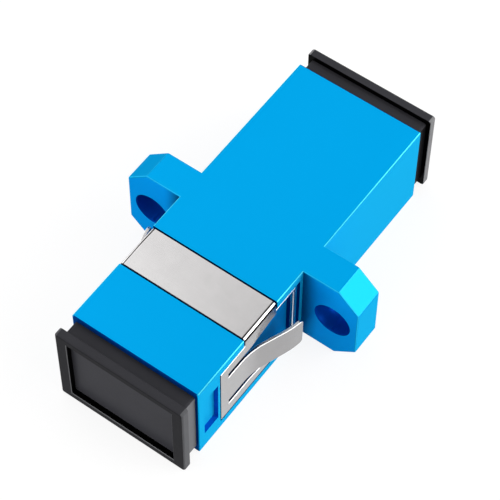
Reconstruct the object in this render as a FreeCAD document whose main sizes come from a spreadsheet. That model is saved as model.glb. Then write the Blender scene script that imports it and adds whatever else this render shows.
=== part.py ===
import FreeCAD, Part
import Sketcher
import os
import re
from FreeCAD import Placement, Rotation, Vector

# SC simplex fibre adapter with a screw flange, a sprung panel clip and two dust caps.
# Millimetres. +Y runs along the fibre axis from the clip end to the rear end, +X goes
# through the right ear and +Z is up. The origin is under the middle, on the underside.

SIZES = [
    # housing
    ("body_width", 12.8),
    ("body_height", 9.5),
    ("body_length", 32.2),
    ("body_edge", 0.15),
    ("body_end_edge", 0.08),
    # screw flange
    ("flange_thickness", 3.1),
    ("flange_corner_width", 2.1),
    ("flange_corner_height", 1.9),
    ("flange_corner", 0.24),
    ("flange_edge", 0.12),
    ("screw_pitch", 19.0),
    ("screw_hole_radius", 1.68),
    ("screw_hole_edge", 0.12),
    ("screw_hole_rim", 0.82),
    # plug ports
    ("port_width", 9.1),
    ("port_height", 7.5),
    ("port_corner", 0.3),
    ("port_mouth_bevel", 0.3),
    ("keyway_width", 2.3),
    ("keyway_length", 5.4),
    # assembly window in the underside and its cover
    ("cover_ledge", 0.45),
    ("cover_play", 0.04),
    ("cover_edge", 0.1),
    # holders that meet in the middle and carry the alignment sleeve
    ("holder_plate_thickness", 1.2),
    ("holder_plate_seat", 0.3),
    ("holder_play", 0.05),
    ("barrel_radius", 2.35),
    ("barrel_lip", 0.75),
    ("barrel_edge", 0.15),
    ("ferrule_way_radius", 1.42),
    ("ferrule_way_bevel", 0.3),
    ("sleeve_radius", 1.6),
    ("sleeve_bore_radius", 1.25),
    ("sleeve_length", 11.4),
    ("sleeve_slit", 0.4),
    ("sleeve_edge", 0.12),
    ("sleeve_play", 0.05),
    ("hook_to_wall", 0.3),
    ("hook_thickness", 0.8),
    ("hook_height", 3.2),
    ("hook_reach", 9.0),
    ("hook_head_length", 1.3),
    ("hook_head_depth", 0.6),
    ("hook_catch", 0.3),
    ("hook_tip", 0.25),
    ("hook_to_cap", 0.6),
    # sheet metal panel clip
    ("sheet", 0.3),
    ("bend_inside", 0.1),
    ("groove_play", 0.12),
    ("groove_runout", 0.65),
    ("clip_to_flange", 1.05),
    ("clip_length", 10.45),
    ("clip_height", 7.3),
    ("strip_width", 4.4),
    ("strip_setback", 2.75),
    ("clip_rail", 0.3),
    ("clip_window_height", 6.1),
    ("slit_width", 0.6),
    ("slit_length", 3.2),
    ("slit_shoulder", 3.0),
    ("tongue_root_setback", 1.05),
    ("tongue_root_width", 3.7),
    ("tongue_tip_width", 3.3),
    ("tongue_tip_length", 1.15),
    ("tongue_slope_length", 3.85),
    ("tongue_lift", 1.5),
    ("tongue_spread", 1.7),
    ("tongue_bend", 7.0),
    ("tongue_tip_corner", 0.4),
    ("panel_gap", 2.25),
    ("tongue_relief", 0.35),
    # shallow recess in each side wall, ahead of the clip
    ("recess_setback", 0.75),
    ("recess_length", 1.9),
    ("recess_height", 5.2),
    ("recess_depth", 0.45),
    # dust caps
    ("cap_play", 0.1),
    ("cap_skirt_wall", 0.8),
    ("cap_skirt_bevel", 0.3),
    ("cap_skirt_corner", 0.4),
    ("collar_side_step", 0.325),
    ("collar_top_step", 0.62),
    ("collar_length", 1.42),
    ("rim_side_overhang", 0.425),
    ("rim_top_overhang", 0.57),
    ("rim_thickness", 0.8),
    ("rim_side_wall", 1.15),
    ("rim_top_wall", 0.8),
    ("rim_recess_depth", 0.55),
    ("cap_corner", 0.25),
    ("cap_face_edge", 0.18),
    ("cap_edge", 0.06),
    ("cap_floor", 1.0),
]

# Places worked out from the sizes; each name stands for its expression.
PLACES = {
    "axis_height": "body_height / 2",
    "side": "body_width / 2",
    "end": "body_length / 2",
    "flange_face": "flange_thickness / 2",
    "ear_side": "screw_pitch / 2 + screw_hole_radius + screw_hole_rim",
    "port_side": "port_width / 2",
    "port_floor": "axis_height - port_height / 2",
    "port_roof": "axis_height + port_height / 2",
    "window_side": "port_side + cover_ledge",
    "window_end": "hook_reach + hook_to_cap",
    "chamber_roof": "port_roof + holder_plate_seat",
    "chamber_end": "holder_plate_thickness + holder_play",
    "clip_back": "-(flange_face + clip_to_flange)",
    "clip_front": "clip_back - clip_length",
    "clip_low": "axis_height - clip_height / 2",
    "clip_high": "axis_height + clip_height / 2",
    "clip_inner": "side - sheet",
    "strip_back": "clip_back - strip_setback",
    "strip_front": "strip_back - strip_width",
    "tongue_root": "clip_front + tongue_root_setback",
    "tongue_tip": "-(flange_face + panel_gap)",
    "tongue_crest": "tongue_tip - tongue_tip_length",
    "tongue_heel": "tongue_crest - tongue_slope_length",
    "slit_half": "tongue_root_width / 2 + slit_width",
    "slit_end": "tongue_root + slit_length",
    "shoulder": "slit_end + slit_shoulder",
    "window_half": "clip_window_height / 2",
    "rail_half": "clip_height / 2 - clip_rail",
    "rail_back": "clip_back - clip_rail",
    "relief_side": "clip_inner - tongue_relief",
    "sleeve_seat_radius": "sleeve_radius + sleeve_play",
    "sleeve_seat_end": "sleeve_length / 2 + sleeve_play",
    "barrel_end": "sleeve_seat_end + barrel_lip",
    "hook_outer": "port_side - hook_to_wall",
    "hook_inner": "hook_outer - hook_thickness",
    "skirt_half_width": "port_side - cap_play",
    "skirt_half_height": "port_height / 2 - cap_play",
    "skirt_end": "-(hook_reach + hook_to_cap)",
    "collar_face": "-(end + collar_length)",
    "collar_half_width": "side - collar_side_step",
    "collar_half_height": "body_height / 2 - collar_top_step",
    "rim_half_width": "collar_half_width + rim_side_overhang",
    "rim_half_height": "collar_half_height + rim_top_overhang",
    "cap_face": "collar_face - rim_thickness",
    "cap_hollow_end": "cap_face + rim_recess_depth + cap_floor",
}

TOUCH = 1e-4

doc = FreeCAD.newDocument("fibre_adapter")
sheet = doc.addObject("Spreadsheet::Sheet", "sizes")
for row, (alias, number) in enumerate(SIZES, start=1):
    sheet.set(f"A{row}", alias)
    sheet.set(f"B{row}", str(number))
    sheet.setAlias(f"B{row}", alias)
doc.recompute()


def expand(text):
    """Write the named sizes and places of an expression out as cells of the sheet."""
    def cell(match):
        name = match.group()
        if name in PLACES:
            return f"({expand(PLACES[name])})"
        return f"sizes.{name}"
    return re.sub(r"[a-z_]+", cell, text)


def bind(item, target, text):
    item.setExpression(target, expand(text))


def value(place):
    """Millimetres of an expression, or of a place that is already a number."""
    return place if isinstance(place, float) else float(sheet.evalExpression(expand(place)))


# Sketches and features

def new_body(name):
    body = doc.addObject("PartDesign::Body", name)
    body.Label = name
    return body


def origin_plane(body, plane):
    return next(item for item in body.Origin.OriginFeatures if item.Role == f"{plane}_Plane")


def new_sketch(body, name, plane, offset):
    sketch = body.newObject("Sketcher::SketchObject", name)
    sketch.AttachmentSupport = [(origin_plane(body, plane), "")]
    sketch.MapMode = "FlatFace"
    bind(sketch, "AttachmentOffset.Base.z", offset)
    return sketch


def hold(sketch, geometry, point, across, up):
    """Hold a point of the sketch at two distances from its origin."""
    for kind, text in (("DistanceX", across), ("DistanceY", up)):
        limit = Sketcher.Constraint(kind, -1, 1, geometry, point, value(text))
        number = sketch.addConstraint(limit)
        bind(sketch, f"Constraints[{number}]", text)


def add_loop(sketch, corners):
    """Closed loop of straight lines through corners, and the number of its first line."""
    first = sketch.GeometryCount
    spots = [Vector(value(across), value(up), 0) for across, up in corners]
    for spot, following in zip(spots, spots[1:] + spots[:1]):
        sketch.addGeometry(Part.LineSegment(spot, following))
    for index in range(len(spots)):
        following = first + (index + 1) % len(spots)
        sketch.addConstraint(Sketcher.Constraint("Coincident", first + index, 2, following, 1))
    return first


def add_outline(sketch, corners):
    """Closed loop of straight lines with every corner held."""
    first = add_loop(sketch, corners)
    for index, (across, up) in enumerate(corners):
        hold(sketch, first + index, 1, across, up)


def add_circle(sketch, across, up, radius):
    centre = Vector(value(across), value(up), 0)
    circle = sketch.addGeometry(Part.Circle(centre, Vector(0, 0, 1), value(radius)))
    hold(sketch, circle, 3, across, up)
    number = sketch.addConstraint(Sketcher.Constraint("Radius", circle, value(radius)))
    bind(sketch, f"Constraints[{number}]", radius)


def rectangle(left, right, low, high):
    return [(left, low), (right, low), (right, high), (left, high)]


def around_axis(half_width, half_height):
    """Rectangle centred on the fibre axis, seen along it."""
    low = f"axis_height - ({half_height})"
    high = f"axis_height + ({half_height})"
    return rectangle(f"-({half_width})", half_width, low, high)


def both_ways(half_outline):
    """Outline in the side view, closed with its mirror image below the fibre axis."""
    upper = [(along, f"axis_height + ({rise})") for along, rise in half_outline]
    lower = [(along, f"axis_height - ({rise})") for along, rise in reversed(half_outline)]
    return upper + lower


def extrusion(body, name, kind, plane, start, stop):
    """Empty sketch and the pad or pocket that carries it from start to stop.

    Start and stop are places on the axis that the plane faces. A pad grows along the
    plane's normal and a pocket cuts against it, and the normal of XZ is -Y.
    """
    flipped = plane == "XZ"
    grows_up = flipped == (kind == "Pocket")
    base = start if grows_up else stop
    offset = f"-({base})" if flipped else base
    sketch = new_sketch(body, f"{name}_sketch", plane, offset)
    feature = body.newObject(f"PartDesign::{kind}", name)
    feature.Profile = sketch
    bind(feature, "Length", f"({stop}) - ({start})")
    return sketch, feature


def pad(body, name, plane, start, stop, *outlines):
    sketch, feature = extrusion(body, name, "Pad", plane, start, stop)
    for corners in outlines:
        add_outline(sketch, corners)
    doc.recompute()
    return feature


def pocket(body, name, plane, start, stop, *outlines):
    before = body.Tip.Shape.Volume
    sketch, feature = extrusion(body, name, "Pocket", plane, start, stop)
    for corners in outlines:
        add_outline(sketch, corners)
    doc.recompute()
    check_cut(name, before, feature)
    return feature


def check_cut(name, before, feature):
    if feature.Shape.Volume > before - TOUCH:
        raise RuntimeError(f"{name} cuts nothing")


def dress(body, kind, name, edges, size):
    """Fillet or chamfer of the chosen edges of the body as it stands."""
    base = body.Tip
    feature = body.newObject(f"PartDesign::{kind}", name)
    feature.Base = (base, edges)
    bind(feature, "Radius" if kind == "Fillet" else "Size", size)
    doc.recompute()
    return feature


def mirror(body, name, originals=None):
    """Copy of some features, or of the whole body, on the other side of the YZ plane."""
    feature = body.newObject("PartDesign::Mirrored", name)
    if originals:
        feature.Originals = originals
    else:
        feature.TransformMode = "Whole shape"
    feature.MirrorPlane = (origin_plane(body, "YZ"), [""])
    body.Tip = feature
    doc.recompute()
    return feature


def edges(body, **places):
    """Edges of the body that lie at a place, or between two, on the named axes.

    Places count on either side of zero, so one call finds an edge and its mirror image.
    """
    spans = {}
    for axis, place in places.items():
        low, high = place if isinstance(place, tuple) else (place, place)
        spans[axis.upper()] = sorted((value(low), value(high)))

    def lies_in(box, axis, low, high):
        ends = getattr(box, f"{axis}Min"), getattr(box, f"{axis}Max")
        return any(all(low - TOUCH < side * end < high + TOUCH for end in ends) for side in (1, -1))

    found = [f"Edge{number}" for number, edge in enumerate(body.Tip.Shape.Edges, start=1)
             if all(lies_in(edge.BoundBox, axis, *span) for axis, span in spans.items())]
    if not found:
        raise RuntimeError(f"{body.Label} has no edge at {places}")
    return found


def long_edges(body, half_width, half_height):
    """Edges along the fibre axis at the four corners of a rectangle centred on it."""
    return [name for side in "-+"
            for name in edges(body, x=half_width, z=f"axis_height {side} ({half_height})")]


def outline_edges(body, along, half_width, half_height):
    """Straight edges at one place along the fibre axis, around a rectangle centred on it."""
    found = edges(body, y=along, x=half_width)
    for side in "-+":
        found += edges(body, y=along, z=f"axis_height {side} ({half_height})")
    return sorted(set(found))


# Housing

def clip_seat_outline():
    """Side view of the groove that takes the clip's plate and the leg of its strip."""
    front = "clip_front - groove_play"
    back = "clip_back + groove_runout"
    low = "clip_low - groove_play"
    high = "clip_high + groove_play"
    leg_front = "strip_front - groove_play"
    leg_back = "strip_back + groove_play"
    leg = [(leg_back, high), (leg_back, "body_height"), (leg_front, "body_height"), (leg_front, high)]
    return [(front, low), (back, low), (back, high)] + leg + [(front, high)]


def flange_outline():
    ear = "ear_side"
    slope = "ear_side - flange_corner_width"
    low = "flange_corner_height"
    high = "body_height - flange_corner_height"
    right = [(slope, "0"), (ear, low), (ear, high), (slope, "body_height")]
    left = [(f"-({across})", up) for across, up in reversed(right)]
    return right + left


def cut_ports(body):
    """Straight channel for the plugs, with rounded corners, bevelled mouths and keyways."""
    pocket(body, "port", "XZ", "-end", "end", around_axis("port_side", "port_height / 2"))
    corners = long_edges(body, "port_side", "port_height / 2")
    dress(body, "Fillet", "port_corners", corners, "port_corner")
    mouths = outline_edges(body, "end", "port_side", "port_height / 2")
    dress(body, "Chamfer", "port_mouths", mouths, "port_mouth_bevel")
    half = "keyway_width / 2"
    pocket(body, "front_keyway", "XY", "0", "port_floor + port_mouth_bevel",
           rectangle(f"-({half})", half, "-end", "keyway_length - end"))
    pocket(body, "rear_keyway", "XY", "0", "port_floor + port_mouth_bevel",
           rectangle(f"-({half})", half, "end - keyway_length", "end"))


def cut_assembly_window(body):
    """Window in the underside and the seat that its holder plates drop into."""
    pocket(body, "window", "XY", "0", "port_floor",
           rectangle("-(window_side)", "window_side", "-window_end", "window_end"))
    pocket(body, "holder_seat", "XY", "0", "chamber_roof",
           rectangle("-(window_side)", "window_side", "-chamber_end", "chamber_end"))


def cut_clip_seat(body):
    """Groove over the top and, on each side, the plate's groove with the tongue's relief."""
    top = rectangle("-side", "side", "strip_front - groove_play", "strip_back + groove_play")
    pocket(body, "strip_groove", "XY", "body_height - sheet", "body_height", top)
    groove = pocket(body, "plate_groove", "YZ", "clip_inner", "side", clip_seat_outline())
    relief = pocket(body, "tongue_relief_cut", "YZ", "relief_side", "clip_inner",
                    both_ways([("tongue_root", "rail_half"), ("rail_back", "rail_half")]))
    recess = pocket(body, "side_recess", "YZ", "side - recess_depth", "side", both_ways(
        [("recess_setback - end", "recess_height / 2"),
         ("recess_setback + recess_length - end", "recess_height / 2")]))
    mirror(body, "left_clip_seat", [groove, relief, recess])
    bends = edges(body, x="clip_inner", z="body_height - sheet")
    dress(body, "Fillet", "strip_groove_edges", bends, "bend_inside + body_edge / 2")


def cut_screw_holes(body):
    before = body.Tip.Shape.Volume
    sketch, feature = extrusion(body, "screw_holes", "Pocket", "XZ", "-flange_face", "flange_face")
    for centre in ("screw_pitch / 2", "-screw_pitch / 2"):
        add_circle(sketch, centre, "axis_height", "screw_hole_radius")
    doc.recompute()
    check_cut("screw_holes", before, feature)
    hole = ("screw_pitch / 2 - screw_hole_radius", "screw_pitch / 2 + screw_hole_radius")
    rims = edges(body, x=hole, y="flange_face", z=("flange_corner_height", "body_height"))
    dress(body, "Chamfer", "screw_hole_edges", rims, "screw_hole_edge")


def make_flange():
    """Plate that carries both ears, rounded at its corners and around its two faces."""
    body = new_body("flange")
    pad(body, "flange_plate", "XZ", "-flange_face", "flange_face", flange_outline())
    slope = "ear_side - flange_corner_width"
    heights = ("0", "flange_corner_height", "body_height - flange_corner_height", "body_height")
    thick = [name for across, up in zip((slope, "ear_side", "ear_side", slope), heights)
             for name in edges(body, x=across, z=up)]
    dress(body, "Fillet", "flange_corners", thick, "flange_corner")
    dress(body, "Fillet", "flange_edges", edges(body, y="flange_face"), "flange_edge")
    return body


def join(body, name, other):
    """Fuse another body into this one."""
    feature = body.newObject("PartDesign::Boolean", name)
    feature.setObjects([other])
    body.Tip = feature
    doc.recompute()


def make_housing():
    flange = make_flange()
    body = new_body("housing")
    pad(body, "shell", "XZ", "-end", "end", around_axis("side", "body_height / 2"))
    dress(body, "Fillet", "shell_edges", long_edges(body, "side", "body_height / 2"), "body_edge")
    dress(body, "Fillet", "shell_end_edges", edges(body, y="end"), "body_end_edge")
    join(body, "flange_joint", flange)
    cut_ports(body)
    cut_assembly_window(body)
    cut_clip_seat(body)
    cut_screw_holes(body)
    return body


def make_bottom_cover():
    """Plate that closes the assembly window, flush with the underside."""
    body = new_body("bottom_cover")
    across = "window_side - cover_play"
    along = "window_end - cover_play"
    pad(body, "plate", "XY", "0", "port_floor",
        rectangle(f"-({across})", across, f"-({along})", along))
    rims = edges(body, x=across, z="0") + edges(body, y=along, z="0")
    dress(body, "Chamfer", "plate_edges", sorted(set(rims)), "cover_edge")
    return body


# Holders and alignment sleeve

def hook_outline():
    """Plan of the right hook: a straight arm with a barbed head that faces the barrel."""
    root = "-holder_plate_thickness / 2"
    barb = "hook_inner - hook_head_depth"
    neck = "hook_head_length - hook_reach"
    crest = "hook_head_length - hook_catch - hook_reach"
    arm = [("hook_outer", root), ("hook_inner", root), ("hook_inner", neck)]
    head = [(barb, crest), (barb, f"{crest} - hook_catch"), ("hook_outer - hook_tip", "-hook_reach")]
    return arm + head + [("hook_outer", "hook_tip - hook_reach")]


def cut_sleeve_seat(body):
    """Bore for half of the sleeve, with a lip at the tip that keeps the sleeve in."""
    before = body.Tip.Shape.Volume
    sketch = new_sketch(body, "sleeve_seat_sketch", "XY", "axis_height")
    add_outline(sketch, [
        ("0", "0"), ("sleeve_seat_radius", "0"), ("sleeve_seat_radius", "-sleeve_seat_end"),
        ("ferrule_way_radius", "-sleeve_seat_end"),
        ("ferrule_way_radius", "ferrule_way_bevel - barrel_end"),
        ("ferrule_way_radius + ferrule_way_bevel", "-barrel_end"), ("0", "-barrel_end")])
    groove = body.newObject("PartDesign::Groove", "sleeve_seat")
    groove.Profile = sketch
    groove.ReferenceAxis = (sketch, ["V_Axis"])
    groove.Angle = 360
    doc.recompute()
    check_cut("sleeve_seat", before, groove)


def make_holder(name, turn):
    """Half of the inner carrier: plate, barrel and two latch hooks, for the front port."""
    body = new_body(name)
    sketch, _ = extrusion(body, "barrel", "Pad", "XZ", "-barrel_end", "0")
    add_circle(sketch, "0", "axis_height", "barrel_radius")
    doc.recompute()
    dress(body, "Chamfer", "barrel_tip", edges(body, y="barrel_end"), "barrel_edge")
    across = "window_side - holder_play"
    pad(body, "plate", "XZ", "-holder_plate_thickness", "0",
        rectangle(f"-({across})", across, "port_floor", "chamber_roof - holder_play"))
    low = "axis_height - hook_height / 2"
    high = "axis_height + hook_height / 2"
    hook = pad(body, "hook", "XY", low, high, hook_outline())
    mirror(body, "left_hook", [hook])
    cut_sleeve_seat(body)
    body.Placement = Placement(Vector(0, 0, 0), Rotation(Vector(0, 0, 1), turn))
    return body


def make_sleeve():
    """Split ceramic sleeve that lines the two ferrules up; its slit faces up."""
    body = new_body("alignment_sleeve")
    half = "sleeve_length / 2"
    sketch, _ = extrusion(body, "tube", "Pad", "XZ", f"-{half}", half)
    add_circle(sketch, "0", "axis_height", "sleeve_radius")
    add_circle(sketch, "0", "axis_height", "sleeve_bore_radius")
    doc.recompute()
    rims = edges(body, y=half)
    dress(body, "Chamfer", "tube_edges", rims, "sleeve_edge")
    slit = "sleeve_slit / 2"
    pocket(body, "slit", "XY", "axis_height", "axis_height + sleeve_radius",
           rectangle(f"-({slit})", slit, f"-{half}", half))
    return body


# Panel clip

def add_tongue_plan(sketch):
    """Plan of a sprung tongue: flat, sloping outwards, then easing off, one sheet thick."""
    outer = [("side", "tongue_root"), ("side", "tongue_heel"),
             ("side + tongue_lift", "tongue_crest"), ("side + tongue_spread", "tongue_tip")]
    inner = [(f"{across} - sheet", up) for across, up in reversed(outer)]
    first = add_loop(sketch, outer + inner)
    for index, (across, up) in enumerate(outer):
        hold(sketch, first + index, 1, across, up)
    flat, slope, tip, cap, tip_back, slope_back, flat_back, root = range(first, first + 8)
    for kind, line, other in (("Perpendicular", cap, tip), ("Parallel", tip_back, tip),
                              ("Parallel", slope_back, slope), ("Parallel", flat_back, flat)):
        sketch.addConstraint(Sketcher.Constraint(kind, line, other))
    sketch.addConstraint(Sketcher.Constraint("Horizontal", root))
    for line, other in ((tip_back, tip), (slope_back, slope), (flat_back, flat)):
        number = sketch.addConstraint(Sketcher.Constraint("Distance", line, 1, other, value("sheet")))
        bind(sketch, f"Constraints[{number}]", "sheet")


def bend_tongue(body, sketch):
    """Round the two bends of the tongue, each tighter on its inside than on its outside."""
    corners = [sketch.getPoint(line, 1) for line in range(sketch.GeometryCount)]
    heel, crest, crest_back, heel_back = (corners[number] for number in (1, 2, 5, 6))
    for name, spots, radius in (("inner_bends", (heel, crest_back), "tongue_bend"),
                                ("outer_bends", (heel_back, crest), "tongue_bend + sheet")):
        bends = [edge for spot in spots for edge in edges(body, x=spot.x, y=spot.y)]
        dress(body, "Fillet", name, bends, radius)


def make_tongue(body):
    """Right tongue: cut at its root width, bent, tapered and rounded at its tip."""
    root_half = "tongue_root_width / 2"
    tip_half = "tongue_tip_width / 2"
    past_tip = "tongue_tip + sheet"
    sketch, _ = extrusion(body, "tongue", "Pad", "XY",
                          f"axis_height - {root_half}", f"axis_height + {root_half}")
    add_tongue_plan(sketch)
    doc.recompute()
    bend_tongue(body, sketch)
    for name, side in (("upper_taper", "+"), ("lower_taper", "-")):
        full, narrow, clear = (f"axis_height {side} ({half})" for half in
                               (root_half, tip_half, "slit_half"))
        pocket(body, name, "YZ", "clip_inner", "side + tongue_spread + sheet",
               [("tongue_root", full), (past_tip, narrow), (past_tip, clear), ("tongue_root", clear)])
    corners = []
    for side in "-+":
        reach = tuple(f"axis_height {side} ({tip_half} + {play})" for play in ("sheet", "-sheet"))
        corners += edges(body, y=("tongue_tip", past_tip), z=reach)
    dress(body, "Fillet", "tongue_tip_corners", corners, "tongue_tip_corner")


def make_panel_clip():
    """Steel clip: a strip over the housing, a plate on each side and a tongue in each."""
    body = new_body("panel_clip")
    make_tongue(body)
    window = both_ways([
        ("tongue_root", "slit_half"), ("slit_end", "slit_half"), ("shoulder", "window_half"),
        ("strip_back", "window_half"), ("strip_back", "rail_half"), ("rail_back", "rail_half")])
    pad(body, "plate", "YZ", "clip_inner", "side",
        rectangle("clip_front", "clip_back", "clip_low", "clip_high"), window)
    under = "body_height - sheet"
    pad(body, "strip", "XZ", "strip_front", "strip_back", [
        ("0", "body_height"), ("side", "body_height"), ("side", "clip_high"),
        ("clip_inner", "clip_high"), ("clip_inner", under), ("0", under)])
    dress(body, "Fillet", "bend_inner", edges(body, x="clip_inner", z=under), "bend_inside")
    dress(body, "Fillet", "bend_outer", edges(body, x="side", z="body_height"), "bend_inside + sheet")
    mirror(body, "left_half")
    return body


# Dust caps

def pad_skirt(body):
    """Plug of the cap: rounded along its corners and bevelled where it enters the port."""
    half = "skirt_half_width", "skirt_half_height"
    pad(body, "skirt", "XZ", "collar_face", "skirt_end", around_axis(*half))
    dress(body, "Fillet", "skirt_corners", long_edges(body, *half), "cap_skirt_corner")
    dress(body, "Chamfer", "skirt_lead", outline_edges(body, "skirt_end", *half), "cap_skirt_bevel")


def pad_rim(body):
    """Collar that stops on the housing and the larger rim that a finger nail lifts."""
    collar = "collar_half_width", "collar_half_height"
    rim = "rim_half_width", "rim_half_height"
    pad(body, "collar", "XZ", "collar_face", "-end", around_axis(*collar))
    dress(body, "Fillet", "collar_corners", long_edges(body, *collar), "cap_corner")
    pad(body, "rim", "XZ", "cap_face", "collar_face", around_axis(*rim))
    dress(body, "Fillet", "rim_corners", long_edges(body, *rim), "cap_corner")
    dress(body, "Fillet", "rim_face_edges", outline_edges(body, "cap_face", *rim), "cap_face_edge")
    dress(body, "Fillet", "rim_back_edges", outline_edges(body, "collar_face", *rim), "cap_edge")


def make_cap(name, turn):
    """Moulded cap for the front port: recessed rim, collar and a hollow skirt."""
    body = new_body(name)
    pad_skirt(body)
    pad_rim(body)
    pocket(body, "hollow", "XZ", "cap_hollow_end", "skirt_end",
           around_axis("skirt_half_width - cap_skirt_wall", "skirt_half_height - cap_skirt_wall"))
    recess = "rim_half_width - rim_side_wall", "rim_half_height - rim_top_wall"
    pocket(body, "rim_recess", "XZ", "cap_face", "cap_face + rim_recess_depth", around_axis(*recess))
    dress(body, "Chamfer", "recess_edges", outline_edges(body, "cap_face", *recess), "cap_edge")
    body.Placement = Placement(Vector(0, 0, 0), Rotation(Vector(0, 0, 1), turn))
    return body


def check_and_write(bodies):
    for item in doc.Objects:
        if "Invalid" in item.State or "Error" in item.State:
            raise RuntimeError(f"{item.Label} failed: {item.State}")
    for body in bodies:
        if body.Shape.isNull() or not body.Shape.isValid():
            raise RuntimeError(f"{body.Label} has no valid shape")
    os.makedirs("parts", exist_ok=True)
    for body in bodies:
        body.Shape.exportStep(f"parts/{body.Label}.step")
        print(body.Label, len(body.Shape.Solids), "solid", round(body.Shape.Volume, 2), "mm3")


check_and_write([
    make_housing(),
    make_bottom_cover(),
    make_holder("front_sleeve_holder", 0),
    make_holder("rear_sleeve_holder", 180),
    make_sleeve(),
    make_panel_clip(),
    make_cap("front_dust_cap", 0),
    make_cap("rear_dust_cap", 180),
])
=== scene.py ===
from math import cos, radians, sin

import bmesh
import bpy
from mathutils import Matrix, Vector


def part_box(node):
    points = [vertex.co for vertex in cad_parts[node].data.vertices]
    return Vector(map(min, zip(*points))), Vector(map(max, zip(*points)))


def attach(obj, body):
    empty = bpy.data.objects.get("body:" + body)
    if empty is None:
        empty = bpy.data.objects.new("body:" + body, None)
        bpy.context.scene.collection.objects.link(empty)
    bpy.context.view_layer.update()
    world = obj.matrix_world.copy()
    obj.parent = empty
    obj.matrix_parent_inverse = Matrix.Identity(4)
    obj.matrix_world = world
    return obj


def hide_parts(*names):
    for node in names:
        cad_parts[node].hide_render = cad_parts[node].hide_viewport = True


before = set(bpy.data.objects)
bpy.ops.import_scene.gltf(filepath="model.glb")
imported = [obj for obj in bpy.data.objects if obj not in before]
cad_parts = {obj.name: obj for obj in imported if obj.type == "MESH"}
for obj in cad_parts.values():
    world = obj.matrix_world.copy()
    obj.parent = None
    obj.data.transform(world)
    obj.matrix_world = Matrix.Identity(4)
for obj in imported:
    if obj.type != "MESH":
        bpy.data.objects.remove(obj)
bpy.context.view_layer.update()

# Looks of the SC fibre adapter: moulded blue housing, sprung steel panel clip and two
# black dust caps. Metres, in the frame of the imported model.

MM = 0.001

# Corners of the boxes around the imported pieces.
HOUSING_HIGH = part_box("housing")[1]
CLIP_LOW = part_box("panel_clip")[0]
CAP_LOW, CAP_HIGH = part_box("rear_dust_cap")

# Housing: half width of its barrel, where its ears begin, its ends, top and underside, and
# its screw holes.
SIDE = 6.4 * MM
EAR_ROOT = SIDE + 0.2 * MM
END = HOUSING_HIGH.y
TOP = HOUSING_HIGH.z
UNDERSIDE = 0.6 * MM
SCREW_HOLE = Vector((9.5 * MM, TOP / 2))
SCREW_HOLE_REACH = 1.9 * MM

# Panel clip: its front and lower edges, the foot of its bends, and its seat in the housing.
CLIP_FRONT = CLIP_LOW.y
CLIP_FOOT = CLIP_LOW.z
BEND_LOW = TOP - 0.9 * MM
SEAT_SIDE = SIDE - 0.9 * MM
RECESS_BACK = CLIP_FRONT - 0.15 * MM

# Dust caps, on the rear one: the faces of its rim and collar, and the frame round its recess.
CAP_FACE = CAP_HIGH.y
COLLAR_FACE = CAP_FACE - 0.8 * MM
RIM_SIDE = CAP_HIGH.x
FRAME_SIDE = RIM_SIDE - 1.0 * MM
FRAME_LOW = CAP_LOW.z + 0.7 * MM
FRAME_HIGH = CAP_HIGH.z - 0.7 * MM

# Margins that tell one face from the next: a hair, a thin edge and a rounded corner.
HAIR = 0.01 * MM
THIN_EDGE = 0.1 * MM
CORNER = 0.3 * MM

# Parts of a face's unit normal above which the face looks along an axis, is a flat side,
# leans to the right or, by its second greatest part, is in the middle of a rounded edge.
LOOKS_ALONG = 0.9
SQUARE_ON = 0.999
LEANS_RIGHT = 0.5
MID_EDGE = 0.45

# Widest facet of a bend of the clip and of a rounded edge of a moulding.
WIDEST_BEND = 3 * MM ** 2
WIDEST_FILLET = 4 * MM ** 2

# Copies: gap that is welded, and the turn in radians within which faces join as one.
WELD = 0.0002 * MM
FLAT_WITHIN = 0.002

# Cut edges of the clip: how far they are rolled over, and their least turn in radians.
ROLLED_EDGE = 0.06 * MM
CUT_EDGE_TURN = 0.7

# Colours of the housing, the caps, the clip, the sleeve and the floor; many are painted light
# and shade.
OPEN_BLUE = (0.0, 0.328, 0.705)
# Painted light: a lighter blue for the right side and the recess floors, where the light from
# the right falls.
SIDE_BLUE = (0.007, 0.400, 0.745)
# Painted light: a brighter blue for the flat fronts and backs of the ears.
EAR_BLUE = (0.0, 0.360, 0.950)
# Painted shade on the end faces of the housing, round the collars of the caps.
END_BLUE = (0.0, 0.040, 0.240)
# Painted shade inside the screw holes.
BORE_BLUE = (0.0, 0.055, 0.400)
# Painted shade on the walls of the clip's seat behind the tongues.
SEAT_BLUE = (0.0, 0.230, 0.620)
# Painted shade in the recess ahead of the seat.
RECESS_BLUE = (0.0, 0.110, 0.560)
# Painted shade, darkest, in the seat and the groove under the clip's strip.
SHADED_BLUE = (0.0, 0.040, 0.200)
# Painted highlights on the rounded outer edges, weaker round the ears.
RUBBED_BLUE = (0.090, 0.800, 1.000)
DULLED_BLUE = (0.020, 0.480, 0.860)
BLUE_SHEEN = (0.05, 0.75, 1.0)
OPEN_BLACK = (0.037, 0.037, 0.042)
PANEL_BLACK = (0.050, 0.050, 0.058)
RIM_BLACK = (0.014, 0.014, 0.017)
# Painted shade in the crevices of the caps: between rim and housing and on the recess walls.
CREVICE_BLACK = (0.001, 0.001, 0.001)
# Painted shade on the sides of the rear cap's collar.
SHADED_BLACK = (0.006, 0.006, 0.007)
# Painted light on the sides of the front cap's collar and a painted highlight on the edges of
# its recess.
WORN_BLACK = (0.150, 0.152, 0.160)
# Painted light on the sides and corners of the cap rims, brighter on the rear cap.
RUBBED_BLACK = (0.095, 0.096, 0.102)
POLISHED_BLACK = (0.200, 0.200, 0.205)
BARE_STEEL = (0.430, 0.422, 0.422)
# Cut edges: burnished metal, made brighter as a painted highlight.
BURNISHED_STEEL = (0.950, 0.940, 0.930)
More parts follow.
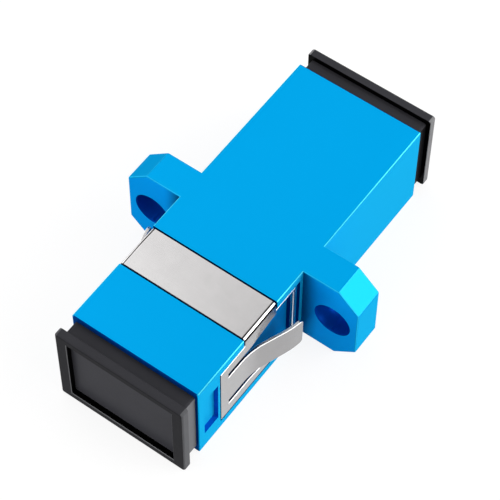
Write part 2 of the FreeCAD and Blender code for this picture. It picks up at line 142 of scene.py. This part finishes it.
# Painted shade on the cut edges that sit down in their groove and along the strip.
SHADED_STEEL = (0.020, 0.026, 0.045)
WHITE_CERAMIC = (0.840, 0.825, 0.780)
WHITE = (1.0, 1.0, 1.0)
FLOOR_PAPER = (0.28, 0.28, 0.28)
FLOOR_SHADE = (0.16, 0.16, 0.16)

# Painted shade in the corner between the barrel and a flange face: the light it keeps, and how
# far it reaches.
CORNER_LIGHT = 0.15
CORNER_REACH = 1.8 * MM

# Brightness of the tongues next to the rest of the clip: painted shade where they stand out.
TONGUE_SATIN = 0.86

# Painted highlight and shade across a bend from its upright leg to its flat one: rise of the
# surface normal, level.
BEND_POLISH = [(0.0, 1.0), (0.02, 1.0), (0.05, 0.0), (0.60, 0.0), (0.66, 2.2), (0.88, 2.2),
               (0.92, 0.12), (0.98, 0.12), (0.992, 1.0), (1.0, 1.0)]

# Soft lights of the room: degrees from +Y towards +X, degrees up, radius, brightness.
SOFT_LIGHTS = [
    (45, 6, 34, 3.34),
    (90, 6, 34, 3.14),
    (225, 6, 34, 2.71),
    (270, 10, 30, 1.10),
    (180, 6, 34, 1.50),
    (135, 25, 34, 0.55),
    (67, 38, 34, 2.32),
    (63, 28, 17, 2.31),
    (202, 38, 34, 1.02),
    (292, 38, 34, 1.12),
    (300, 55, 17, 1.21),
    (330, 40, 17, 0.90),
    (288, 66, 30, 0.80),
]

# Floor: half its width, its gap under the adapter, and the strength at which it shows white.
FLOOR_REACH = 3.0
FLOOR_GAP = 0.03 * MM
FLOOR_GLOW = 0.87

# Camera: place, line of sight and upward direction; lens and sensor are in millimetres.
CAMERA_PLACE = Vector((56.979, -80.264, 154.779)) * MM
CAMERA_FORWARD = Vector((-0.31855, 0.44764, -0.83555))
CAMERA_UPWARD = Vector((-0.49291, 0.67470, 0.54938))
CAMERA_LENS = 150.73
CAMERA_SENSOR = 36.0

BLUE_NODES = ("housing", "bottom_cover", "front_sleeve_holder", "rear_sleeve_holder")
CAP_BODIES = {"front_dust_cap": "front_cap", "rear_dust_cap": "rear_cap"}


# Node trees

def find_socket(node, name):
    """Input by its number, as in in_0, or by its label with _ for each space."""
    if name.startswith("in_"):
        return node.inputs[int(name[3:])]
    label = name.replace("_", " ").lower()
    return next(socket for socket in node.inputs
                if socket.name.lower() == label and socket.enabled)


def feed(tree, socket, given):
    """Give an input another node's output or a plain value."""
    if isinstance(given, bpy.types.NodeSocket):
        tree.links.new(given, socket)
    else:
        socket.default_value = given


def set_inputs(tree, node, **inputs):
    """Feed several inputs of a node, each by its name."""
    for name, given in inputs.items():
        feed(tree, find_socket(node, name), given)


def add_node(tree, kind, settings=None, **inputs):
    """Node of a kind, with its settings, and a value or another node's output per input."""
    node = tree.nodes.new(kind)
    for name, setting in (settings or {}).items():
        setattr(node, name, setting)
    set_inputs(tree, node, **inputs)
    return node


def math_node(tree, operation, first, second=0.0, clamp=False):
    settings = {"operation": operation, "use_clamp": clamp}
    return add_node(tree, "ShaderNodeMath", settings, in_0=first, in_1=second).outputs[0]


def remap(tree, value, source, target, interpolation="LINEAR"):
    """A value carried over from one range to another."""
    node = add_node(tree, "ShaderNodeMapRange", {"interpolation_type": interpolation},
                    Value=value, From_Min=source[0], From_Max=source[1],
                    To_Min=target[0], To_Max=target[1])
    return node.outputs["Result"]


def spread(tree, mask, low, high):
    """A mask carried over to the range from low to high."""
    return remap(tree, mask, (0.0, 1.0), (low, high))


def noise(tree, place, scale, detail, roughness):
    node = add_node(tree, "ShaderNodeTexNoise", Vector=place, Scale=scale, Detail=detail,
                    Roughness=roughness)
    return node.outputs["Fac"]


def object_place(tree):
    return add_node(tree, "ShaderNodeTexCoord").outputs["Object"]


def place_along(tree, axis):
    """Place on the piece along one axis."""
    return add_node(tree, "ShaderNodeSeparateXYZ", Vector=object_place(tree)).outputs[axis]


def facing_along(tree, axis):
    """How far the surface looks along one axis, from -1 to 1."""
    facing = add_node(tree, "ShaderNodeTexCoord").outputs["Normal"]
    return add_node(tree, "ShaderNodeSeparateXYZ", Vector=facing).outputs[axis]


def distance_across(tree):
    """Distance from the middle plane of the adapter, on either side."""
    return math_node(tree, "ABSOLUTE", place_along(tree, "X"))


def grey(tree, level):
    """Grey of a level, as a colour to multiply with."""
    node = add_node(tree, "ShaderNodeCombineColor", Red=level, Green=level, Blue=level)
    return node.outputs[0]


def opaque(colour, level=1.0):
    """Colour at a level of brightness, with full alpha."""
    return tuple(channel * level for channel in colour) + (1.0,)


def blend_colour(tree, mask, first, second, blend="MIX"):
    """Colour that goes from the first to the second with a mask."""
    node = add_node(tree, "ShaderNodeMix", {"data_type": "RGBA", "blend_type": blend},
                    Factor=mask)
    sockets = [socket for socket in node.inputs if socket.type == "RGBA"]
    for socket, given in zip(sockets, (first, second)):
        feed(tree, socket, given)
    return next(socket for socket in node.outputs if socket.type == "RGBA")


def multiply_colours(tree, first, second):
    return blend_colour(tree, 1.0, first, second, "MULTIPLY")


def two_tone(tree, mask, base, low, high):
    """Base colour scaled from low to high by a mask."""
    return blend_colour(tree, mask, opaque(base, low), opaque(base, high))


def bump(tree, height, distance):
    return add_node(tree, "ShaderNodeBump", Height=height, Distance=distance).outputs[0]


def start_group(name, inputs, outputs):
    """Shader node group with its sockets, and the nodes that carry its inputs and outputs."""
    group = bpy.data.node_groups.new(name, "ShaderNodeTree")
    for label, default in inputs.items():
        socket = group.interface.new_socket(
            label, in_out="INPUT", socket_type="NodeSocketFloat")
        socket.default_value = default
    for label in outputs:
        group.interface.new_socket(label, in_out="OUTPUT", socket_type="NodeSocketFloat")
    return group, group.nodes.new("NodeGroupInput"), group.nodes.new("NodeGroupOutput")


def place_group(tree, group, **inputs):
    """A node group placed in a tree with its own values; gives its outputs."""
    return add_node(tree, "ShaderNodeGroup", {"node_tree": group}, **inputs).outputs


def moulded_skin():
    """Fine grain of a spark-eroded mould, and the slow drift in tone across a moulding.

    Grain and Drift are the widths of one speck and of one cloud, in millimetres.
    """
    group, given, made = start_group(
        "moulded_skin", {"Grain": 0.15, "Drift": 6.0}, ["Height", "Tone", "Bloom"])
    place = object_place(group)
    grain_scale = math_node(group, "DIVIDE", 1 / MM, given.outputs["Grain"])
    drift_scale = math_node(group, "DIVIDE", 1 / MM, given.outputs["Drift"])
    grain = noise(group, place, grain_scale, detail=3.0, roughness=0.6)
    drift = noise(group, place, drift_scale, detail=2.0, roughness=0.5)
    specks = math_node(group, "SUBTRACT", grain, 0.45)
    bloom = math_node(group, "MULTIPLY", specks, 2.4, clamp=True)
    set_inputs(group, made, Height=grain, Tone=drift, Bloom=bloom)
    return group


def rolled_strip():
    """Fine lines that rolling leaves along a steel strip, and its faint pickle mottling.

    Line and Length are the width and the length of one line, in millimetres.
    """
    group, given, made = start_group(
        "rolled_strip", {"Line": 0.05, "Length": 4.0}, ["Height", "Line Mask", "Mottle"])
    place = object_place(group)
    across = math_node(group, "DIVIDE", 1 / MM, given.outputs["Line"])
    along = math_node(group, "DIVIDE", 1 / MM, given.outputs["Length"])
    factors = add_node(group, "ShaderNodeCombineXYZ", X=along, Y=across, Z=along).outputs[0]
    stretched = add_node(group, "ShaderNodeMapping", Vector=place, Scale=factors).outputs[0]
    lined = noise(group, stretched, 1.0, detail=4.0, roughness=0.65)
    mottle = noise(group, place, 0.7 / MM, detail=3.0, roughness=0.6)
    set_inputs(group, made, Height=lined, Line_Mask=lined, Mottle=mottle)
    return group


# Finishes

def new_material(name):
    material = bpy.data.materials.new(name)
    material.use_nodes = True
    return material, material.node_tree, material.node_tree.nodes["Principled BSDF"]


def skin_colour(tree, marks, low, high):
    """Colour that the faces carry, painted light and shade among it, with the slow drift in
    tone of a moulding.
    """
    carried = add_node(tree, "ShaderNodeAttribute", {"attribute_name": "skin"}).outputs
    tone = two_tone(tree, marks["Tone"], WHITE, low, high)
    return multiply_colours(tree, carried["Color"], tone), carried["Alpha"]


def corner_shade(tree, open_face):
    """Painted shade in the corner between the barrel and a flange face, none where a face is
    open.
    """
    light = remap(tree, distance_across(tree), (SIDE - CORNER, SIDE + CORNER_REACH),
                  (CORNER_LIGHT, 1.0), "SMOOTHSTEP")
    return grey(tree, math_node(tree, "MAXIMUM", light, open_face))


def blue_housing_plastic(skin):
    material, tree, shader = new_material("blue_housing_plastic")
    marks = place_group(tree, skin, Grain=0.16, Drift=5.0)
    colour, open_face = skin_colour(tree, marks, 0.98, 1.0)
    set_inputs(tree, shader,
               Base_Color=multiply_colours(tree, colour, corner_shade(tree, open_face)),
               Roughness=spread(tree, marks["Bloom"], 0.28, 0.31),
               Normal=bump(tree, marks["Height"], 0.0005 * MM),
               Metallic=0.20, Specular_IOR_Level=0.0, Specular_Tint=opaque(BLUE_SHEEN),
               Coat_Weight=0.015, Coat_Roughness=0.16)
    return material


def black_cap_plastic(skin):
    material, tree, shader = new_material("black_cap_plastic")
    marks = place_group(tree, skin, Grain=0.22, Drift=4.0)
    colour, _ = skin_colour(tree, marks, 0.88, 1.12)
    set_inputs(tree, shader,
               Base_Color=colour,
               Roughness=spread(tree, marks["Bloom"], 0.30, 0.40),
               Normal=bump(tree, marks["Height"], 0.004 * MM),
               Specular_IOR_Level=0.015)
    return material


def on_strip(tree):
    """1 on the strip of the clip and its bends, 0 on the legs that run down the sides."""
    return math_node(tree, "GREATER_THAN", place_along(tree, "Z"), BEND_LOW)


def rubbed_tongue(tree):
    """Grey of painted shade that darkens the steel of the tongues where they stand out from the
    sides.
    """
    return grey(tree, remap(tree, distance_across(tree), (SIDE, SIDE + CORNER),
                            (1.0, TONGUE_SATIN)))


def sunk_cut(tree, least):
    """1 on the front and lower cut edges of the clip, which sit down in their groove: the mask
    of their painted shade.

    They count where the surface looks forwards or down by more than the least amount.
    """
    def cut(axis, limit):
        near = math_node(tree, "LESS_THAN", place_along(tree, axis), limit)
        turned = math_node(tree, "LESS_THAN", facing_along(tree, axis), -least)
        return math_node(tree, "MULTIPLY", near, turned)

    return math_node(tree, "MAXIMUM", cut("Y", CLIP_FRONT + CORNER / 2),
                     cut("Z", CLIP_FOOT + THIN_EDGE))


def bend_polish(tree):
    """Painted highlight outside a bend: a bright band with a painted dark line on each side."""
    rise = math_node(tree, "MULTIPLY", facing_along(tree, "Z"), on_strip(tree), clamp=True)
    ramp = add_node(tree, "ShaderNodeValToRGB", Fac=rise)
    stops = ramp.color_ramp.elements
    while len(stops) < len(BEND_POLISH):
        stops.new(0.5)
    for stop, (place, level) in zip(stops, BEND_POLISH):
        stop.position = place
        stop.color = opaque(WHITE, level)
    return ramp.outputs["Color"]


def sprung_steel(strip):
    material, tree, shader = new_material("sprung_steel")
    marks = place_group(tree, strip, Line=0.06, Length=5.0)
    colour = two_tone(tree, marks["Mottle"], BARE_STEEL, 0.94, 1.06)
    # Painted highlight and shade on the bends, painted shade on the tongues and on the cut
    # edges down in their groove.
    colour = multiply_colours(tree, colour, bend_polish(tree))
    colour = multiply_colours(tree, colour, rubbed_tongue(tree))
    set_inputs(tree, shader,
               Base_Color=blend_colour(tree, sunk_cut(tree, 0.9), colour, opaque(SHADED_STEEL)),
               Roughness=spread(tree, marks["Line Mask"], 0.16, 0.26),
               Normal=bump(tree, marks["Height"], 0.0015 * MM),
               Metallic=1.0)
    return material


def burnished_edge(strip):
    """Burnished cut edges made brighter as a painted highlight; painted shade in the groove and
    on the strip.
    """
    material, tree, shader = new_material("burnished_highlight_steel_edge")
    marks = place_group(tree, strip, Line=0.03, Length=1.0)
    colour = two_tone(tree, marks["Mottle"], BURNISHED_STEEL, 0.94, 1.0)
    sunk = math_node(tree, "MAXIMUM", on_strip(tree), sunk_cut(tree, 0.3))
    set_inputs(tree, shader,
               Base_Color=blend_colour(tree, sunk, colour, opaque(SHADED_STEEL)),
               Roughness=spread(tree, marks["Line Mask"], 0.42, 0.56),
               Metallic=1.0)
    return material


def ground_ceramic(skin):
    material, tree, shader = new_material("ground_ceramic")
    marks = place_group(tree, skin, Grain=0.05, Drift=2.0)
    set_inputs(tree, shader,
               Base_Color=two_tone(tree, marks["Tone"], WHITE_CERAMIC, 0.97, 1.02),
               Roughness=spread(tree, marks["Bloom"], 0.12, 0.22),
               Normal=bump(tree, marks["Height"], 0.001 * MM))
    return material


# Blue and black of each face of a moulding, with painted light and shade

def looks_along(face, axis):
    """Whether a face looks along an axis, either way."""
    return abs(getattr(face.normal, axis)) > LOOKS_ALONG


def on_ear_flat(face):
    """Whether a face of the housing is the flat front or back of an ear."""
    return abs(face.center.x) > SIDE and looks_along(face, "y") and not face.use_smooth


def rounded_blue(face):
    """Blue of a facet of a rounded outer edge: a painted highlight, weaker around the ears."""
    slant = sorted(abs(part) for part in face.normal)[1]
    if slant < MID_EDGE or abs(face.center.y) > END - THIN_EDGE:
        return OPEN_BLUE
    return DULLED_BLUE if abs(face.center.x) > EAR_ROOT else RUBBED_BLUE


def seat_blue(face):
    """Painted light and shade on a face of the clip's seat or of the recess ahead of it, None
    elsewhere.
    """
    across, up = abs(face.center.x), face.center.z
    in_seat = SEAT_SIDE < across < SIDE - HAIR
    in_groove = across < SIDE - HAIR and BEND_LOW < up < TOP - HAIR
    in_recess = in_seat and face.center.y < RECESS_BACK
    if in_seat and looks_along(face, "x"):
        return SIDE_BLUE if in_recess else SEAT_BLUE
    if in_recess:
        return RECESS_BLUE
    return SHADED_BLUE if in_seat or in_groove else None


def skin_blue(face):
    """Blue of a face of the housing: painted shade in bores, seats and ends, painted light and
    highlights on sides, ears, edges.
    """
    across, up = abs(face.center.x), face.center.z
    to_hole = (Vector((across, up)) - SCREW_HOLE).length
    if to_hole < SCREW_HOLE_REACH and not looks_along(face, "y"):
        return BORE_BLUE
    if face.use_smooth and across > SIDE - CORNER:
        return rounded_blue(face)
    if on_ear_flat(face):
        return EAR_BLUE
    if abs(face.center.y) > END - THIN_EDGE:
        return END_BLUE
    if face.normal.z < -LOOKS_ALONG and up < UNDERSIDE:
        return OPEN_BLUE
    # Faces that lean to the right take the painted light of the lit side.
    return seat_blue(face) or (SIDE_BLUE if face.normal.x > LEANS_RIGHT else OPEN_BLUE)


def end_black(face):
    """Black of a face of a cap that looks along the fibre axis, on its rim or collar; painted
    shade toward the housing.
    """
    along = abs(face.center.y)
    if along > CAP_FACE - THIN_EDGE:
        return RIM_BLACK
    return PANEL_BLACK if along > COLLAR_FACE + THIN_EDGE else CREVICE_BLACK


def skin_black(face):
    """Black of a face of a cap: painted shade in crevices and the rear collar, painted light on
    front collar, rims and recess edges.
    """
    across, along, up = abs(face.center.x), abs(face.center.y), face.center.z
    at_rear = face.center.y > 0
    if along < END:
        return OPEN_BLACK
    if looks_along(face, "y"):
        return end_black(face)
    if along < COLLAR_FACE:
        if looks_along(face, "x"):
            return SHADED_BLACK if at_rear else WORN_BLACK
        return OPEN_BLACK
    if across < FRAME_SIDE and FRAME_LOW < up < FRAME_HIGH:
        return WORN_BLACK if along > CAP_FACE - THIN_EDGE / 2 else CREVICE_BLACK
    if across > RIM_SIDE - CORNER:
        return POLISHED_BLACK if at_rear else RUBBED_BLACK
    return OPEN_BLACK


# Pieces

def dress(mesh, *materials):
    """Give a mesh its finishes in place of those that it has."""
    mesh.materials.clear()
    for material in materials:
        mesh.materials.append(material)


def add_object(name, content):
    """Object in the scene that holds a mesh, a lamp or a lens."""
    holder = bpy.data.objects.new(name, content)
    bpy.context.scene.collection.objects.link(holder)
    return holder


def welded_copy(node_name, piece_name):
    """Copy of a node's mesh as one closed skin, with a single face for each flat side."""
    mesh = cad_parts[node_name].data.copy()
    mesh.name = piece_name
    shell = bmesh.new()
    shell.from_mesh(mesh)
    bmesh.ops.remove_doubles(shell, verts=shell.verts, dist=WELD)
    bmesh.ops.dissolve_limit(shell, angle_limit=FLAT_WITHIN, verts=shell.verts,
                             edges=shell.edges)
    shell.to_mesh(mesh)
    shell.free()
    return add_object(piece_name, mesh)


def shade_rounded(mesh, widest):
    """Shade the facets of rounded edges and bends smooth, and flat sides flat."""
    for face in mesh.polygons:
        slanted = max(abs(part) for part in face.normal) < SQUARE_ON
        face.use_smooth = slanted and face.area < widest


def moulded_copy(node_name, material, face_colour, body):
    """Copy of a moulded node whose faces carry a colour each, painted light and shade among
    them; alpha 0 takes corner shade.
    """
    piece = welded_copy(node_name, f"moulded_{node_name}")
    dress(piece.data, material)
    shade_rounded(piece.data, WIDEST_FILLET)
    tint = piece.data.attributes.new("skin", "FLOAT_COLOR", "CORNER")
    for face in piece.data.polygons:
        openness = 0.0 if on_ear_flat(face) else 1.0
        for corner in face.loop_indices:
            tint.data[corner].color = face_colour(face) + (openness,)
    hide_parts(node_name)
    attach(piece, body)


def stamped_clip(material, edge_material):
    """Panel clip whose cut edges are rolled over as a press leaves them."""
    piece = welded_copy("panel_clip", "stamped_panel_clip")
    dress(piece.data, material, edge_material)
    shade_rounded(piece.data, WIDEST_BEND)
    edge = piece.modifiers.new("pressed_edge", "BEVEL")
    edge.material = 1
    edge.width = ROLLED_EDGE
    edge.segments = 2
    edge.limit_method = "ANGLE"
    edge.angle_limit = CUT_EDGE_TURN
    edge.use_clamp_overlap = False
    level = piece.modifiers.new("level_shading", "WEIGHTED_NORMAL")
    level.mode = "FACE_AREA"
    level.weight = 100
    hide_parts("panel_clip")
    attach(piece, "adapter")


# Stage, lights and camera

def floor_paper():
    """Paper that shows white and still takes a soft shadow, clear from below."""
    material, tree, shader = new_material("floor_paper")
    tree.nodes.remove(shader)
    paper = add_node(tree, "ShaderNodeBsdfDiffuse", Color=opaque(FLOOR_PAPER))
    shade = add_node(tree, "ShaderNodeBsdfDiffuse", Color=opaque(FLOOR_SHADE))
    glow = add_node(tree, "ShaderNodeEmission", Color=opaque(WHITE), Strength=FLOOR_GLOW)
    seen = add_node(tree, "ShaderNodeAddShader", in_0=shade.outputs[0], in_1=glow.outputs[0])
    ray = add_node(tree, "ShaderNodeLightPath").outputs
    direct = math_node(tree, "MAXIMUM", ray["Is Camera Ray"], ray["Is Glossy Ray"])
    direct = math_node(tree, "MAXIMUM", direct, ray["Is Transmission Ray"])
    either = add_node(tree, "ShaderNodeMixShader", in_0=direct, in_1=paper.outputs[0],
                      in_2=seen.outputs[0])
    clear = add_node(tree, "ShaderNodeBsdfTransparent")
    below = add_node(tree, "ShaderNodeNewGeometry").outputs["Backfacing"]
    sided = add_node(tree, "ShaderNodeMixShader", in_0=below, in_1=either.outputs[0],
                     in_2=clear.outputs[0])
    tree.links.new(sided.outputs[0], tree.nodes["Material Output"].inputs["Surface"])
    return material


def lay_floor():
    """Pale floor just under the adapter."""
    mesh = bpy.data.meshes.new("floor")
    corners = [(FLOOR_REACH * across, FLOOR_REACH * along, -FLOOR_GAP)
               for across, along in ((-1, -1), (1, -1), (1, 1), (-1, 1))]
    mesh.from_pydata(corners, [], [(0, 1, 2, 3)])
    dress(mesh, floor_paper())
    add_object("floor", mesh)


def soft_light(tree, sky, azimuth, elevation, radius, brightness):
    """Brightness that a soft round light, its angles in degrees, gives a part of the sky."""
    turn, rise, reach = (radians(angle) for angle in (azimuth, elevation, radius))
    toward = Vector((cos(rise) * sin(turn), cos(rise) * cos(turn), sin(rise)))
    facing = add_node(tree, "ShaderNodeVectorMath", {"operation": "DOT_PRODUCT"},
                      in_0=sky, in_1=toward).outputs["Value"]
    return remap(tree, facing, (cos(reach), cos(reach / 4)), (0.0, brightness), "SMOOTHSTEP")


def light_room():
    """Dark room with soft round lights; white where the camera sees past the floor."""
    world = bpy.data.worlds.new("studio")
    world.use_nodes = True
    bpy.context.scene.world = world
    tree = world.node_tree
    tree.nodes.clear()
    sky = add_node(tree, "ShaderNodeTexCoord").outputs["Generated"]
    strength = 0.0
    for light in SOFT_LIGHTS:
        strength = math_node(tree, "ADD", soft_light(tree, sky, *light), strength)
    room = add_node(tree, "ShaderNodeBackground", Color=opaque(WHITE), Strength=strength)
    white = add_node(tree, "ShaderNodeBackground", Color=opaque(WHITE), Strength=1.0)
    seen = add_node(tree, "ShaderNodeLightPath").outputs["Is Camera Ray"]
    both = add_node(tree, "ShaderNodeMixShader", in_0=seen, in_1=room.outputs[0],
                    in_2=white.outputs[0])
    output = add_node(tree, "ShaderNodeOutputWorld")
    tree.links.new(both.outputs[0], output.inputs["Surface"])


def hang_softbox(name, place, aim, side, power):
    """Square soft lamp near the object, so that what is close to it is a little brighter."""
    lamp = bpy.data.lights.new(name, "AREA")
    lamp.energy = power
    lamp.size = side * MM
    holder = add_object(name, lamp)
    holder.location = Vector(place) * MM
    toward = holder.location - Vector(aim) * MM
    holder.rotation_euler = toward.to_track_quat("Z", "Y").to_euler()


def place_camera():
    lens = bpy.data.cameras.new("camera")
    lens.lens = CAMERA_LENS
    lens.sensor_width = CAMERA_SENSOR
    lens.clip_start = 0.01
    lens.clip_end = 20.0
    forward = CAMERA_FORWARD.normalized()
    across = forward.cross(CAMERA_UPWARD).normalized()
    turn = Matrix((across, across.cross(forward), -forward)).transposed()
    camera = add_object("camera", lens)
    camera.matrix_world = Matrix.Translation(CAMERA_PLACE) @ turn.to_4x4()
    bpy.context.scene.camera = camera


skin = moulded_skin()
strip = rolled_strip()
blue = blue_housing_plastic(skin)
black = black_cap_plastic(skin)
steel = sprung_steel(strip)
for name in BLUE_NODES:
    dress(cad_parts[name].data, blue)
for name in CAP_BODIES:
    dress(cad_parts[name].data, black)
dress(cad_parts["panel_clip"].data, steel)
dress(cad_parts["alignment_sleeve"].data, ground_ceramic(skin))

stamped_clip(steel, burnished_edge(strip))
for name in BLUE_NODES:
    moulded_copy(name, blue, skin_blue, "adapter")
for name, body in CAP_BODIES.items():
    moulded_copy(name, black, skin_black, body)

lay_floor()
light_room()
hang_softbox("back_softbox", place=(0, 90, 95), aim=(0, 5, 5), side=90, power=0.017)
place_camera()
bpy.context.scene.view_settings.view_transform = "Standard"
